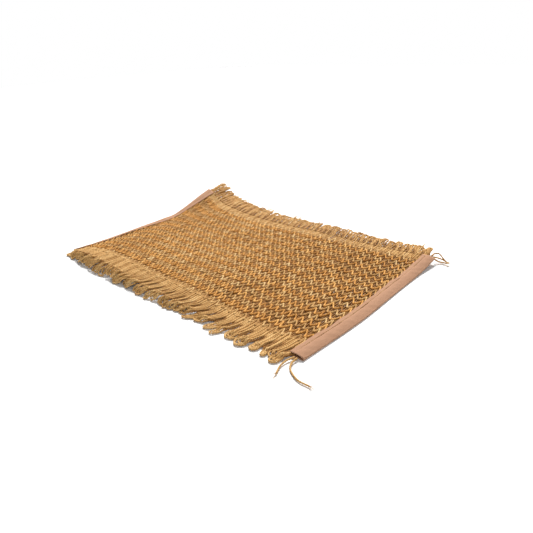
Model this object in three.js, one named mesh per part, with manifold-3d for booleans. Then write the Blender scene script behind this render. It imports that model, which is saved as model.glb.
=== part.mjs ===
// A woven jute placemat with looped fringe along its long edges and folded cotton bindings on its ends.
// Millimetres, +Z up, with +X along the mat towards its right end and +Y towards its far edge.
import * as THREE from 'three';
import { mergeVertices } from 'three/addons/utils/BufferGeometryUtils.js';
import Module from 'manifold-3d';

// Size of the woven body, bindings included, and of the parts of its section
const LENGTH = 454;
const WIDTH = 274;
const THICKNESS = 4.4;
const GAP = 0.3;
const HELD_GAP = 0.45;

// Rows of cord, beige and coloured in turn: a beige row is first and last
const ROWS = 23;
const ROW_PITCH = 10.62;
const FIRST_ROW = -112.4;
const RIB_RISE = 0.9;
// The cloth thins towards its long edges
const EDGE = { width: 6, drop: 0.6 };

// Cotton strip folded over each short end
const BINDING_REACH = 19;
const BINDING_FLAT = 9;
const BINDING_SHEET = 1.0;
const BINDING_HEIGHT = 5.0;
const FOLD = { height: 2.4, depth: 2.2 };

// Fringe of yarn loops, gathered in locks whose roots are held by a narrow strip. The locks' reach and their
// lean, sideways for each millimetre of reach, differ between the edges, and neighbours lean alike: the
// lean swings slowly along the edge. A lock leaves with part of the cloth's slope and droops.
const STRIP = { width: 3, bottom: 0.6, top: 3.6, steps: 30, endInset: 3 };
const LOCK = { count: 68, width: 4.2, height: 2.1, tipWidth: 3.2, tipHeight: 1.5, steps: 3, endInset: 4 };
const LEAN_WAVE = { size: 0.07, slow: 0.42, quick: 1.0 };
const SLOPE_SHARE = 0.5;
const SLOPE_BASE = 12;
const SETTLE = 14;
const FLOOR_CLEAR = 0.02;

// Loose threads at the right corners, as points measured from the binding's outer corner
const THREAD = { thick: 2.2, tipThick: 1.8, steps: 10, tipFrom: 7 };
const FRINGES = {
  near: {
    side: -1, seed: 41, reach: 16, spread: 2, lean: -0.6, droop: 0.02,
    threads: [
      [[-6, -2, 2.4], [-6, -10, 1.8], [-1, -19, 1.3], [13, -27, 1.3], [27, -28, 1.3]],
      [[-9, -2, 2.4], [-12, -10, 2], [-12, -20, 1.5], [-8, -31, 1.3]],
    ],
  },
  far: {
    side: 1, seed: 73, reach: 38, spread: 4, lean: -0.22, droop: 0.002,
    threads: [
      [[-6, 3, 2.6], [-6, 12, 3], [-1, 15, 2.5], [6, 10.5, 0], [13, 5.5, -2]],
      [[-3, 2, 2.2], [1, 7, 0], [7, 9, -1.8], [13, 5.5, -2.2]],
    ],
  },
};

// Steps of the body's grid along the mat
const BODY_STEPS = 18;
// Stretch over which the cloth thins before a binding
const THINNING = 3;

// How the mat lies. Each table has a row for each station along the mat, measured from its left end, and
// is read at the near edge, at one and two thirds of the width, and at the far edge.
// Heights of the underside: below nought it is pressed flat on the floor. The left end bends down over its
// binding, its far corner curls up, and the middle stands a little clear.
const HEIGHTS = [
  { along: 0, near: 0, lower: -5, upper: -6, far: 28 },
  { along: 50, near: 8, lower: 5, upper: 4, far: 14 },
  { along: 100, near: 10, lower: 9, upper: 9, far: 12 },
  { along: 200, near: 6, lower: 9, upper: 8, far: 8 },
  { along: 300, near: 3, lower: 6, upper: 5, far: 6 },
  { along: 390, near: -4, lower: -4, upper: -1, far: 4 },
  { along: 454, near: -6, lower: -7, upper: -5, far: 6 },
];
// Shifts to the right of a straight, square mat
const SHIFTS_RIGHT = [
  { along: 0, near: 16, lower: 18, upper: 16, far: 16 },
  { along: 50, near: 6, lower: 6, upper: 2, far: 6 },
  { along: 100, near: 4, lower: 0, upper: -8, far: -6 },
  { along: 200, near: 0, lower: -4, upper: -11, far: -13 },
  { along: 300, near: -3, lower: -4, upper: -8, far: -6 },
  { along: 400, near: 3, lower: 5, upper: 5, far: 8 },
  { along: 454, near: 5, lower: 14, upper: 13, far: 12 },
];
// Shifts towards the far edge of a straight, square mat
const SHIFTS_FAR = [
  { along: 0, near: 16, lower: -2, upper: 3, far: 25 },
  { along: 50, near: 13, lower: 3, upper: -1, far: 11 },
  { along: 100, near: 9, lower: 4, upper: -6, far: -1 },
  { along: 200, near: 3, lower: 0, upper: -9, far: -10 },
  { along: 300, near: 0, lower: 0, upper: -4, far: -3 },
  { along: 400, near: -4, lower: -1, upper: 2, far: 3 },
  { along: 454, near: -2, lower: 1, upper: 3, far: 4 },
];
const EASE = 2.5;
const READ_AT = { near: 0, lower: 1 / 3, upper: 2 / 3, far: 1 };

const HALF_LENGTH = LENGTH / 2;
const HALF_WIDTH = WIDTH / 2;
const HELD_FROM = HALF_LENGTH - BINDING_REACH;

// Repeatable random numbers between -1 and 1
function makeRandom(seed) {
  let state = seed;
  return () => {
    state = (state * 16807) % 2147483647;
    return (state / 2147483647) * 2 - 1;
  };
}

// Smooth curve through values at given places, carried on straight past both ends
function smoothThrough(places, values, at) {
  const last = places.length - 1;
  const slope = (i) => {
    const a = Math.max(i - 1, 0);
    const b = Math.min(i + 1, last);
    return (values[b] - values[a]) / (places[b] - places[a]);
  };
  if (at <= places[0]) return values[0] + slope(0) * (at - places[0]);
  if (at >= places[last]) return values[last] + slope(last) * (at - places[last]);
  const i = places.findIndex((place) => place > at) - 1;
  const span = places[i + 1] - places[i];
  const t = (at - places[i]) / span;
  const start = values[i] * (2 * t ** 3 - 3 * t ** 2 + 1) + slope(i) * span * (t ** 3 - 2 * t ** 2 + t);
  const end = values[i + 1] * (3 * t ** 2 - 2 * t ** 3) + slope(i + 1) * span * (t ** 3 - t ** 2);
  return start + end;
}

// Value of a table at x and y of the straight, square mat
function readTable(rows, x, y) {
  const columns = Object.keys(READ_AT);
  const stations = rows.map((row) => row.along);
  const values = columns.map((name) => smoothThrough(stations, rows.map((row) => row[name]), x + HALF_LENGTH));
  return smoothThrough(Object.values(READ_AT), values, (y + HALF_WIDTH) / WIDTH);
}

// Height of the underside, which eases on to the floor and then lies flat on it
function undersideHeight(x, y) {
  const free = readTable(HEIGHTS, x, y);
  if (free <= -EASE) return 0;
  return free >= EASE ? free : (free + EASE) ** 2 / (4 * EASE);
}

// Point of the laid mat: x and y as if it were straight and square, and n above its underside. The
// bindings keep their width, so they share the shift to the right of the cloth where it leaves them.
function laid(x, y, n) {
  const reach = 4;
  const slopeX = (undersideHeight(x + reach, y) - undersideHeight(x - reach, y)) / (2 * reach);
  const slopeY = (undersideHeight(x, y + reach) - undersideHeight(x, y - reach)) / (2 * reach);
  const normal = new THREE.Vector3(-slopeX, -slopeY, 1).normalize();
  const unheld = THREE.MathUtils.clamp(x, -HELD_FROM, HELD_FROM);
  const base = new THREE.Vector3(x + readTable(SHIFTS_RIGHT, unheld, y), y + readTable(SHIFTS_FAR, x, y));
  return base.setZ(undersideHeight(x, y)).addScaledVector(normal, n);
}

// Closed skin over rings of points: each ring joins the next, and the same triangles cap both ends
function loftRings(rings, capTriangles) {
  const size = rings[0].length;
  const triangles = [];
  for (let i = 0; i < rings.length - 1; i += 1) {
    for (let j = 0; j < size; j += 1) {
      const a = i * size + j;
      const b = i * size + ((j + 1) % size);
      triangles.push(a, b, b + size, a, b + size, a + size);
    }
  }
  const lastStart = (rings.length - 1) * size;
  for (const [a, b, c] of capTriangles) {
    triangles.push(c, b, a);
    triangles.push(lastStart + a, lastStart + b, lastStart + c);
  }
  return closedGeometry(rings.flat(), triangles);
}

function closedGeometry(points, triangles) {
  const geometry = new THREE.BufferGeometry();
  geometry.setAttribute('position', new THREE.Float32BufferAttribute(points.flatMap((p) => [p.x, p.y, p.z]), 3));
  geometry.setIndex(triangles);
  return facingOut(geometry);
}

// Turns a closed skin so that its faces point outwards
function facingOut(geometry) {
  const position = geometry.getAttribute('position');
  const index = Array.from(geometry.getIndex().array);
  const corner = (k) => new THREE.Vector3().fromBufferAttribute(position, index[k]);
  let volume = 0;
  for (let k = 0; k < index.length; k += 3) {
    volume += corner(k).dot(corner(k + 1).cross(corner(k + 2)));
  }
  if (volume < 0) {
    for (let k = 0; k < index.length; k += 3) {
      [index[k], index[k + 1]] = [index[k + 1], index[k]];
    }
  }
  geometry.setIndex(index);
  return geometry;
}

// Triangles of an end cap: a fan for a convex section, or a band between two facing rows of points
const fanTriangles = (size) => Array.from({ length: size - 2 }, (_, i) => [0, i + 1, i + 2]);

function facingTriangles(pairs) {
  const last = 2 * pairs - 1;
  return Array.from({ length: pairs - 1 }, (_, j) => [[j, j + 1, last - 1 - j], [j, last - 1 - j, last - j]]).flat();
}

// Woven body: a sheet whose upper face carries the rows as ribs, thinner where the bindings hold it
function bodyStationsAcross() {
  const places = [{ y: -HALF_WIDTH, rise: -EDGE.drop }, { y: -HALF_WIDTH + EDGE.width, rise: 0 }];
  for (let i = -1; i < 2 * ROWS; i += 1) {
    const onRow = i % 2 === 0;
    places.push({ y: FIRST_ROW + (i * ROW_PITCH) / 2, rise: onRow ? RIB_RISE / 2 : -RIB_RISE / 2 });
  }
  places.push({ y: HALF_WIDTH - EDGE.width, rise: 0 }, { y: HALF_WIDTH, rise: -EDGE.drop });
  return places;
}

function bodyStationsAlong() {
  const end = HELD_FROM + BINDING_FLAT;
  const field = HELD_FROM - THINNING;
  const places = [-end, -HELD_FROM, -field];
  for (let i = 1; i < BODY_STEPS; i += 1) places.push(-field + (2 * field * i) / BODY_STEPS);
  return [...places, field, HELD_FROM, end];
}

function wovenBody() {
  const across = bodyStationsAcross();
  const along = bodyStationsAlong();
  const heldBottom = BINDING_SHEET + HELD_GAP;
  const heldTop = BINDING_HEIGHT - BINDING_SHEET - HELD_GAP;
  const rings = along.map((x) => {
    const held = Math.abs(x) >= HELD_FROM;
    const top = across.map(({ y, rise }) => laid(x, y, held ? heldTop : THICKNESS + rise));
    const bottom = across.map(({ y }) => laid(x, y, held ? heldBottom : 0));
    return [...bottom, ...top.reverse()];
  });
  return loftRings(rings, facingTriangles(across.length));
}

// Folded strip: flat over the cloth, then sloping down to its outer fold. Its section runs as pairs of
// outer and inner points, from the upper flap's edge round the fold to the lower flap's edge.
function bindingSection() {
  const sheet = BINDING_SHEET;
  const top = BINDING_HEIGHT;
  const fold = BINDING_REACH - FOLD.depth;
  const middle = FOLD.height / 2;
  return [
    { out: [0, top], in: [0, top - sheet] },
    { out: [BINDING_FLAT, top], in: [BINDING_FLAT - 0.2, top - sheet] },
    { out: [BINDING_FLAT + 4, top - 0.9], in: [BINDING_FLAT + 3.4, top - 0.9 - sheet] },
    { out: [fold + 0.8, FOLD.height], in: [fold, FOLD.height - sheet + 0.25] },
    { out: [BINDING_REACH - 0.2, FOLD.height - 0.7], in: [fold + 0.3, middle + 0.05] },
    { out: [BINDING_REACH, middle], in: [fold + 0.35, middle] },
    { out: [BINDING_REACH - 0.5, 0.3], in: [fold + 0.2, middle - 0.1] },
    { out: [fold + 0.5, 0], in: [fold - 0.4, sheet] },
    { out: [BINDING_FLAT, 0], in: [BINDING_FLAT, sheet] },
    { out: [0, 0], in: [0, sheet] },
  ];
}

function binding(side) {
  const section = bindingSection();
  const rings = [];
  for (const { y } of bodyStationsAcross()) {
    const point = ([reach, n]) => laid(side * (HELD_FROM + reach), y, n);
    rings.push([...section.map((pair) => point(pair.out)), ...section.map((pair) => point(pair.in)).reverse()]);
  }
  return loftRings(rings, facingTriangles(section.length));
}

// Four-sided strand along points, with its own width and height at each
function strand(points, widths, heights) {
  const up = new THREE.Vector3(0, 0, 1);
  const rings = points.map((point, i) => {
    const ahead = points[Math.min(i + 1, points.length - 1)].clone().sub(points[Math.max(i - 1, 0)]);
    const sideways = ahead.cross(up).setLength(widths[i] / 2);
    const lift = heights[i] / 2;
    return [[-1, -1], [1, -1], [1, 1], [-1, 1]].map(([a, b]) =>
      point.clone().addScaledVector(sideways, a).addScaledVector(up, b * lift));
  });
  return loftRings(rings, fanTriangles(4));
}

// Height of a lock's middle line, d past the mat's edge: it sinks to the floor and lies level there
function lockHeight(x, { side, droop }, d, thick) {
  const edge = undersideHeight(x, side * HALF_WIDTH);
  const inside = undersideHeight(x, side * (HALF_WIDTH - SLOPE_BASE));
  const slope = (SLOPE_SHARE * (edge - inside)) / SLOPE_BASE;
  const root = (STRIP.bottom + STRIP.top) / 2;
  const eased = Math.min(d / SETTLE, 1);
  const free = edge + slope * d - droop * d * d + root * (1 - eased) + (thick / 2) * eased;
  return Math.max(free, thick / 2 + FLOOR_CLEAR);
}

// Narrow strip that holds the roots, just clear of the cloth's edge and of the bindings' ends
function fringeStrip(side) {
  const inner = side * (HALF_WIDTH + GAP);
  const outer = side * (HALF_WIDTH + GAP + STRIP.width);
  const end = HALF_LENGTH - STRIP.endInset;
  const rings = [];
  for (let i = 0; i <= STRIP.steps; i += 1) {
    const x = -end + (2 * end * i) / STRIP.steps;
    const corners = [[inner, STRIP.bottom], [outer, STRIP.bottom], [outer, STRIP.top], [inner, STRIP.top]];
    rings.push(corners.map(([y, n]) => laid(x, y, n)));
  }
  return loftRings(rings, fanTriangles(4));
}

function lock(rootX, tilt, reach, edge) {
  const start = HALF_WIDTH + GAP + STRIP.width / 2;
  const points = [];
  const widths = [];
  const heights = [];
  for (let k = 0; k <= LOCK.steps; k += 1) {
    const t = k / LOCK.steps;
    const d = t * (reach - STRIP.width / 2);
    const height = THREE.MathUtils.lerp(LOCK.height, LOCK.tipHeight, t);
    const x = THREE.MathUtils.clamp(rootX + tilt * d, -HALF_LENGTH, HALF_LENGTH);
    points.push(laid(x, edge.side * (start + d), 0).setZ(lockHeight(x, edge, d, height)));
    widths.push(THREE.MathUtils.lerp(LOCK.width, LOCK.tipWidth, t));
    heights.push(height);
  }
  return strand(points, widths, heights);
}

function looseThread(route, side) {
  const corner = laid(HALF_LENGTH, side * (HALF_WIDTH + GAP), 0);
  const curve = new THREE.CatmullRomCurve3(route.map(([x, y, z]) => new THREE.Vector3(x, y, z).add(corner)));
  const points = curve.getPoints(THREAD.steps);
  const thick = points.map((_, i) => (i < THREAD.tipFrom ? THREAD.thick : THREAD.tipThick));
  return strand(points, thick, thick);
}

function fringe(edge) {
  const random = makeRandom(edge.seed);
  const span = LENGTH - 2 * LOCK.endInset;
  const solids = [fringeStrip(edge.side)];
  for (let i = 0; i < LOCK.count; i += 1) {
    const rootX = -span / 2 + (span * (i + 0.5)) / LOCK.count;
    const swing = Math.sin(LEAN_WAVE.slow * i) + 0.5 * Math.sin(LEAN_WAVE.quick * i);
    solids.push(lock(rootX, edge.lean + LEAN_WAVE.size * swing, edge.reach + edge.spread * random(), edge));
  }
  solids.push(...edge.threads.map((route) => looseThread(route, edge.side)));
  return fuse(solids);
}

const wasm = await Module();
wasm.setup();

function toManifold(geometry) {
  const bare = geometry.clone();
  bare.deleteAttribute('normal');
  bare.deleteAttribute('uv');
  const merged = mergeVertices(bare, 1e-4);
  return new wasm.Manifold(new wasm.Mesh({
    numProp: 3,
    vertProperties: new Float32Array(merged.getAttribute('position').array),
    triVerts: new Uint32Array(merged.getIndex().array),
  }));
}

function fuse(geometries) {
  const joined = geometries.map(toManifold).reduce((sum, next) => sum.add(next));
  const mesh = joined.getMesh();
  const geometry = new THREE.BufferGeometry();
  geometry.setAttribute('position', new THREE.Float32BufferAttribute(mesh.vertProperties, 3));
  geometry.setIndex(Array.from(mesh.triVerts));
  return geometry;
}

function cloth(name, geometry, color, roughness) {
  geometry.computeVertexNormals();
  const mesh = new THREE.Mesh(geometry, new THREE.MeshStandardMaterial({ color, roughness, metalness: 0 }));
  mesh.name = name;
  return mesh;
}

const placemat = new THREE.Group();
placemat.add(cloth('woven_body', wovenBody(), 0xb98445, 0.95));
placemat.add(cloth('binding_left', binding(-1), 0xc59a80, 0.9));
placemat.add(cloth('binding_right', binding(1), 0xc59a80, 0.9));
placemat.add(cloth('fringe_near', fringe(FRINGES.near), 0xc39d66, 0.95));
placemat.add(cloth('fringe_far', fringe(FRINGES.far), 0xc39d66, 0.95));

// Origin on the floor, under the middle of the whole mat with its threads
const box = new THREE.Box3().setFromObject(placemat);
const middle = box.getCenter(new THREE.Vector3());
placemat.position.set(-middle.x, -middle.y, -box.min.z);

export default placemat;
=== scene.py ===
"""A woven jute placemat with a looped fringe and cotton end bindings, lying on a pale floor.

Metres, with +Z up. +X runs along the mat towards its right end and +Y towards its far long edge.
Every cord and yarn is a tube placed on the mat as if it lay straight and square, and then laid down
with the mat's own unevenness.
"""
import logging
import math
from dataclasses import dataclass, field
from enum import Enum

import bpy
import numpy as np
from mathutils import Matrix, Vector


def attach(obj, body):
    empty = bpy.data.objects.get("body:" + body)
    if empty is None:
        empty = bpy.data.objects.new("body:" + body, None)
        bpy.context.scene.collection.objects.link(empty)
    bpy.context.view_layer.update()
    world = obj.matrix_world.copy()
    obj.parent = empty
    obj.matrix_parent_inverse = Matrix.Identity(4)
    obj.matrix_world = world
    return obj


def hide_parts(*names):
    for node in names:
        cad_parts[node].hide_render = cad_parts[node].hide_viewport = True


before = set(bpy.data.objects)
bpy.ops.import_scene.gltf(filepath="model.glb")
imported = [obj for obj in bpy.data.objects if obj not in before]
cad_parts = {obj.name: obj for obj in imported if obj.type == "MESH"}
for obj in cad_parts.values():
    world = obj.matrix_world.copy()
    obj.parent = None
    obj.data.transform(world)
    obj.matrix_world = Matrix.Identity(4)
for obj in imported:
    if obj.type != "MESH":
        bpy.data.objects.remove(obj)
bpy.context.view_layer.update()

LOG = logging.getLogger("placemat")
Array = np.ndarray


class Edge(Enum):
    """Long edges of the mat, by their side along Y."""

    NEAR = -1
    FAR = 1


class End(Enum):
    """Short ends of the mat, by their side along X."""

    LEFT = -1
    RIGHT = 1


def unit(vectors: Array) -> Array:
    """Scales vectors to length one."""
    return vectors / np.maximum(np.linalg.norm(vectors, axis=-1, keepdims=True), 1e-12)


def ease(values: Array) -> Array:
    """Smooth step from nought to one."""
    clipped = np.clip(values, 0.0, 1.0)
    return clipped * clipped * (3.0 - 2.0 * clipped)


def smooth_through(places: Array, values: Array, at: Array) -> Array:
    """Reads smooth curves through values at given places, straight past both ends.

    Args:
        places: rising places of the known values.
        values: known values, one row for each place, with one column or one for each reading.
        at: where each reading is made.

    Returns:
        One value for each reading.
    """
    last = len(places) - 1
    index = np.arange(last + 1)
    before, after = np.maximum(index - 1, 0), np.minimum(index + 1, last)
    slopes = (values[after] - values[before]) / (places[after] - places[before])[:, None]
    low = np.clip(np.searchsorted(places, at, side="right") - 1, 0, last - 1)
    column = np.arange(len(at)) if values.shape[1] > 1 else np.zeros(len(at), int)
    span = places[low + 1] - places[low]
    t = (at - places[low]) / span
    u = np.clip(t, 0.0, 1.0)
    leaving, arriving = slopes[low, column] * span, slopes[low + 1, column] * span
    start = values[low, column] * (2 * u**3 - 3 * u**2 + 1) + leaving * (u**3 - 2 * u**2 + u)
    end = values[low + 1, column] * (3 * u**2 - 2 * u**3) + arriving * (u**3 - u**2)
    return start + end + leaving * np.minimum(t, 0.0) + arriving * np.maximum(t - 1.0, 0.0)


class Wander:
    """Smooth repeatable unevenness over the mat, as the sum of a few slow waves."""

    def __init__(self, seed: int, size: float, wavelength: float, waves: int = 6) -> None:
        """Draws the waves.

        Args:
            seed: seed of the random draws.
            size: usual size of the unevenness.
            wavelength: usual length of its waves.
            waves: how many waves are summed.
        """
        draw = np.random.default_rng(seed)
        heading = draw.uniform(0.0, math.tau, waves)
        length = wavelength * draw.uniform(0.6, 1.6, waves)
        self.along = np.cos(heading) * math.tau / length
        self.across = np.sin(heading) * math.tau / length
        self.start = draw.uniform(0.0, math.tau, waves)
        self.size = size * math.sqrt(2.0 / waves)

    def at(self, x: Array, y: Array) -> Array:
        """Unevenness at x and y."""
        phase = x[..., None] * self.along + y[..., None] * self.across + self.start
        return self.size * np.sin(phase).sum(axis=-1)


@dataclass(frozen=True)
class MatLay:
    """How the mat lies. Each table has a row for each station along the mat, from its left end: the
    station, then values at the near edge, at one and two thirds of the width, and at the far edge."""

    length: float = 0.454
    width: float = 0.274
    ease: float = 0.0025
    held_from: float = 0.208
    origin: tuple[float, float] = (0.020851, 0.018594)
    # How far past held_from the upper flaps of the bindings begin, at the near and the far end
    flap_left: tuple[float, float] = (0.0055, -0.0015)
    flap_right: tuple[float, float] = (0.0025, 0.0025)
    flap_change_from: float = -0.03
    flap_change_over: float = 0.09
    # Heights of the underside: below nought it is pressed flat on the floor
    heights: tuple = (
        (0.000, 0.000, -0.005, -0.006, 0.028),
        (0.050, 0.008, 0.005, 0.004, 0.014),
        (0.100, 0.010, 0.009, 0.009, 0.012),
        (0.200, 0.006, 0.009, 0.008, 0.008),
        (0.300, 0.003, 0.006, 0.005, 0.006),
        (0.390, -0.004, -0.004, -0.001, 0.004),
        (0.454, -0.006, -0.007, -0.005, 0.006),
    )
    # Shifts to the right of a straight, square mat
    shifts_right: tuple = (
        (0.000, 0.016, 0.018, 0.016, 0.016),
        (0.050, 0.006, 0.006, 0.002, 0.006),
        (0.100, 0.004, 0.000, -0.008, -0.006),
        (0.200, 0.000, -0.004, -0.011, -0.013),
        (0.300, -0.003, -0.004, -0.008, -0.006),
        (0.400, 0.003, 0.005, 0.005, 0.008),
        (0.454, 0.005, 0.014, 0.013, 0.012),
    )
    # Shifts towards the far edge of a straight, square mat
    shifts_far: tuple = (
        (0.000, 0.016, -0.002, 0.003, 0.025),
        (0.050, 0.013, 0.003, -0.001, 0.011),
        (0.100, 0.009, 0.004, -0.006, -0.001),
        (0.200, 0.003, 0.000, -0.009, -0.010),
        (0.300, 0.000, 0.000, -0.004, -0.003),
        (0.400, -0.004, -0.001, 0.002, 0.003),
        (0.454, -0.002, 0.001, 0.003, 0.004),
    )

    def flap(self, side: Array | float, y: Array) -> Array:
        """How far past held_from the upper flap begins: at the left end where side is below nought."""
        near, far = (np.where(side < 0, left, right) for left, right in zip(self.flap_left, self.flap_right))
        return near + (far - near) * ease((y - self.flap_change_from) / self.flap_change_over)

    def read(self, rows: tuple, x: Array, y: Array) -> Array:
        """Reads a table.

        Args:
            rows: the table.
            x: places along the straight, square mat.
            y: places across it.

        Returns:
            The table's value at each place.
        """
        table = np.array(rows)
        across = np.linspace(0.0, 1.0, table.shape[1] - 1)
        stations = x + self.length / 2
        values = [smooth_through(table[:, 0], column[:, None], stations) for column in table[:, 1:].T]
        return smooth_through(across, np.array(values), y / self.width + 0.5)

    def height(self, x: Array, y: Array) -> Array:
        """Height of the underside, which eases on to the floor and then lies flat on it.

        Args:
            x: places along the straight, square mat.
            y: places across it.

        Returns:
            The height at each place.
        """
        free = self.read(self.heights, x, y)
        eased = (free + self.ease) ** 2 / (4 * self.ease)
        return np.where(free <= -self.ease, 0.0, np.where(free >= self.ease, free, eased))

    def point(self, x: Array, y: Array, n: Array) -> Array:
        """Places points of the straight, square mat in the frame.

        Args:
            x: places along the mat.
            y: places across the mat.
            n: heights above the underside.

        Returns:
            Points in the frame, in the shape of x with three numbers each.
        """
        x, y, n = np.broadcast_arrays(x, y, n)
        shape, reach = x.shape, 0.004
        x, y, n = x.ravel(), y.ravel(), n.ravel()
        slope_x = (self.height(x + reach, y) - self.height(x - reach, y)) / (2 * reach)
        slope_y = (self.height(x, y + reach) - self.height(x, y - reach)) / (2 * reach)
        normal = unit(np.stack([-slope_x, -slope_y, np.ones_like(x)], axis=-1))
        held = np.clip(x, -self.held_from, self.held_from)
        right = x + self.read(self.shifts_right, held, y) - self.origin[0]
        far = y + self.read(self.shifts_far, x, y) - self.origin[1]
        base = np.stack([right, far, self.height(x, y)], axis=-1)
        return (base + normal * n[:, None]).reshape(*shape, 3)


@dataclass
class YarnSet:
    """Gathers yarns as closed tubes, and makes one mesh of them. The UV map runs in turns of the yarn's
    twist along it and once around it, and the point attribute tone holds each yarn's own shade, lowered by
    painted shade where the yarn lies among or beneath the cords or between two locks."""

    sides: int
    seed: int
    points: list = field(default_factory=list)
    quads: list = field(default_factory=list)
    caps: list = field(default_factory=list)
    quad_uvs: list = field(default_factory=list)
    cap_uvs: list = field(default_factory=list)
    tones: list = field(default_factory=list)
    count: int = 0

    def add(self, lines: Array, radius: Array | float, turn: float, lobe: float = 0.1,
            flat: float = 1.0, tone: Array | float | None = None) -> None:
        """Adds tubes along lines.

        Args:
            lines: centre lines, as yarns by steps by three numbers.
            radius: one radius, or one for each yarn and step.
            turn: length of one turn of the twist.
            lobe: how far the two plies stand out of a round section, as a share of the radius.
            flat: height of the section as a share of its width.
            tone: one shade, or one for each yarn, or for each yarn and step. Random if left out.
        """
        yarns, steps, _ = lines.shape
        draw = np.random.default_rng(self.seed + self.count)
        self.count += 1
        sides = np.arange(self.sides)
        side, up = self._frames(lines)
        gaps = np.linalg.norm(np.diff(lines, axis=1), axis=-1)
        turns = np.concatenate([np.zeros((yarns, 1)), np.cumsum(gaps, axis=1)], axis=1) / turn
        turns += draw.uniform(0.0, 50.0, (yarns, 1))
        angle = math.tau * sides / self.sides - math.pi / 2
        swell = 1.0 + lobe * np.cos(2 * (angle - math.tau * turns[..., None]))
        thick = np.broadcast_to(radius, (yarns, steps))[..., None] * swell
        ring = (thick * np.cos(angle))[..., None] * side[:, :, None]
        ring += (thick * flat * np.sin(angle))[..., None] * up[:, :, None]
        first = sum(len(block) for block in self.points)
        self.points.append((lines[:, :, None] + ring).reshape(-1, 3))
        start = first + np.arange(yarns)[:, None, None] * steps * self.sides
        k = np.arange(steps - 1)[None, :, None] * self.sides
        j, after = sides[None, None], (sides + 1)[None, None] % self.sides
        ring_here, ring_next = start + k, start + k + self.sides
        corners = [ring_here + j, ring_next + j, ring_next + after, ring_here + after]
        self.quads.append(np.stack(corners, axis=-1).reshape(-1, 4))
        near, far = np.broadcast_arrays(turns[:, :-1, None], turns[:, 1:, None])
        here = np.broadcast_to(sides / self.sides, (yarns, steps - 1, self.sides))
        u = np.stack([near + 0 * here, far + 0 * here, far + 0 * here, near + 0 * here], axis=-1)
        v = np.stack([here, here, here + 1 / self.sides, here + 1 / self.sides], axis=-1)
        self.quad_uvs.append(np.stack([u, v], axis=-1).reshape(-1, 2))
        ends = np.stack([start[:, 0, 0, None] + sides,
                         start[:, 0, 0, None] + (steps - 1) * self.sides + sides[::-1]], axis=1)
        self.caps.append(ends.reshape(-1, self.sides))
        cap_u = np.repeat(turns[:, [0, -1]], self.sides, axis=1).reshape(yarns, 2, self.sides)
        cap_v = np.broadcast_to(sides / self.sides, cap_u.shape)
        self.cap_uvs.append(np.stack([cap_u, cap_v], axis=-1).reshape(-1, 2))
        if tone is None:
            tone = draw.uniform(0.0, 1.0, (yarns, 1))
        shade = np.broadcast_to(np.asarray(tone, float), (yarns, steps))
        self.tones.append(np.repeat(shade[..., None], self.sides, axis=-1).ravel())

    @staticmethod
    def _frames(lines: Array) -> tuple[Array, Array]:
        """Carries a sideways and an upward direction along each line, without twist.

        Args:
            lines: centre lines, as yarns by steps by three numbers.

        Returns:
            The sideways and the upward directions, in the shape of the lines.
        """
        ahead = unit(np.gradient(lines, axis=1))
        side = np.cross(ahead[:, 0], np.array([0.0, 0.0, 1.0]))
        weak = np.linalg.norm(side, axis=-1) < 0.05
        side[weak] = (1.0, 0.0, 0.0)
        sides = np.empty_like(lines)
        for k in range(lines.shape[1]):
            side = unit(side - (side * ahead[:, k]).sum(axis=-1, keepdims=True) * ahead[:, k])
            sides[:, k] = side
        return sides, np.cross(sides, ahead)

    def build(self, name: str) -> bpy.types.Object:
        """Makes the mesh of all the yarns.

        Args:
            name: name of the new object.

        Returns:
            The new object, at the origin.
        """
        mesh = bpy.data.meshes.new(name)
        faces = np.concatenate(self.quads).tolist() + np.concatenate(self.caps).tolist()
        mesh.from_pydata(np.concatenate(self.points), [], faces)
        layer = mesh.uv_layers.new(name="yarn")
        layer.uv.foreach_set("vector", np.concatenate([*self.quad_uvs, *self.cap_uvs]).ravel())
        tone = mesh.attributes.new("tone", "FLOAT", "POINT")
        tone.data.foreach_set("value", np.concatenate(self.tones))
        mesh.shade_smooth()
        sharp = mesh.attributes.new("sharp_face", "BOOLEAN", "FACE")
        rings = sum(len(block) for block in self.quads)
        sharp.data.foreach_set("value", np.arange(len(faces)) >= rings)
        return place(name, mesh)


def place(name: str, mesh: bpy.types.ID) -> bpy.types.Object:
    """Links data as an object at the origin.

    Args:
        name: name of the new object.
        mesh: its mesh, camera data or light data.

    Returns:
        The new object.
    """
    piece = bpy.data.objects.new(name, mesh)
    bpy.context.scene.collection.objects.link(piece)
    return piece


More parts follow.
